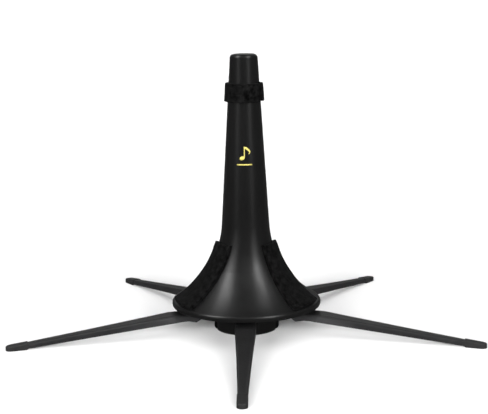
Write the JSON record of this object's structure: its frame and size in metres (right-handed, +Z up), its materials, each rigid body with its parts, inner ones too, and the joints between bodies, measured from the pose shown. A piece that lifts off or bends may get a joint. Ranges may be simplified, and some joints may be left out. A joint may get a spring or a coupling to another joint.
{
  "type": "folding trumpet stand",
  "caption": "Folding in-bell trumpet stand: a padded hollow cone screws onto a round hub, and channel legs with rubber feet hinge down out of the hub for storage.",
  "frame": {"origin": "on the floor, under the cone's axis", "axes": "+Z up the cone's axis, leg 1 points along -Y"},
  "size_m": [0.311, 0.296, 0.1864],
  "materials": {
    "cone_plastic": "satin black moulded plastic",
    "hub_plastic": "matte black moulded plastic",
    "leg_paint": "satin dark grey powder coat on pressed steel",
    "foot_rubber": "satin dark grey rubber",
    "pad_fabric": "short black velvet pile",
    "band_fabric": "short black velvet pile",
    "washer_rubber": "plain black rubber",
    "hardware_steel": "zinc-plated steel"
  },
  "bodies": {
    "hub": {"hub_base": "hub_plastic", "hub_crown": "hub_plastic", "hub_screws": "hardware_steel", "leg_pin_1": "hardware_steel", "leg_pin_2": "hardware_steel", "leg_pin_3": "hardware_steel", "leg_pin_4": "hardware_steel", "leg_pin_5": "hardware_steel"},
    "washer": {"cone_washer": "washer_rubber"},
    "cone": {"cone_body": "cone_plastic", "neck_band": "band_fabric", "flare_pad_1": "pad_fabric", "flare_pad_2": "pad_fabric", "flare_pad_3": "pad_fabric"},
    "leg_1": {"leg_1": "leg_paint", "foot_1": "foot_rubber"},
    "leg_2": {"leg_2": "leg_paint", "foot_2": "foot_rubber"},
    "leg_3": {"leg_3": "leg_paint", "foot_3": "foot_rubber"},
    "leg_4": {"leg_4": "leg_paint", "foot_4": "foot_rubber"},
    "leg_5": {"leg_5": "leg_paint", "foot_5": "foot_rubber"}
  },
  "joints": [
    {"name": "cone_turn", "type": "hinge", "parent": "hub", "child": "washer", "pos_m": [0, 0, 0.018], "axis": [0, 0, 1], "range_deg": [0, 720]},
    {"name": "cone_lift", "type": "slide", "parent": "washer", "child": "cone", "axis": [0, 0, 1], "range_m": [0, 0.008]},
    {"name": "leg_1_fold", "type": "hinge", "parent": "hub", "child": "leg_1", "pos_m": [0, -0.017, 0.011], "axis": [1, 0, 0], "range_deg": [0, 90]},
    {"name": "leg_2_fold", "type": "hinge", "parent": "hub", "child": "leg_2", "pos_m": [0.01617, -0.00525, 0.011], "axis": [0.309, 0.9511, 0], "range_deg": [0, 90]},
    {"name": "leg_3_fold", "type": "hinge", "parent": "hub", "child": "leg_3", "pos_m": [0.00999, 0.01375, 0.011], "axis": [-0.809, 0.5878, 0], "range_deg": [0, 90]},
    {"name": "leg_4_fold", "type": "hinge", "parent": "hub", "child": "leg_4", "pos_m": [-0.00999, 0.01375, 0.011], "axis": [-0.809, -0.5878, 0], "range_deg": [0, 90]},
    {"name": "leg_5_fold", "type": "hinge", "parent": "hub", "child": "leg_5", "pos_m": [-0.01617, -0.00525, 0.011], "axis": [0.309, -0.9511, 0], "range_deg": [0, 90]}
  ],
  "couplings": [
    {"joint": "cone_lift", "follows": "cone_turn", "m_per_rad": 0.00063662}
  ]
}
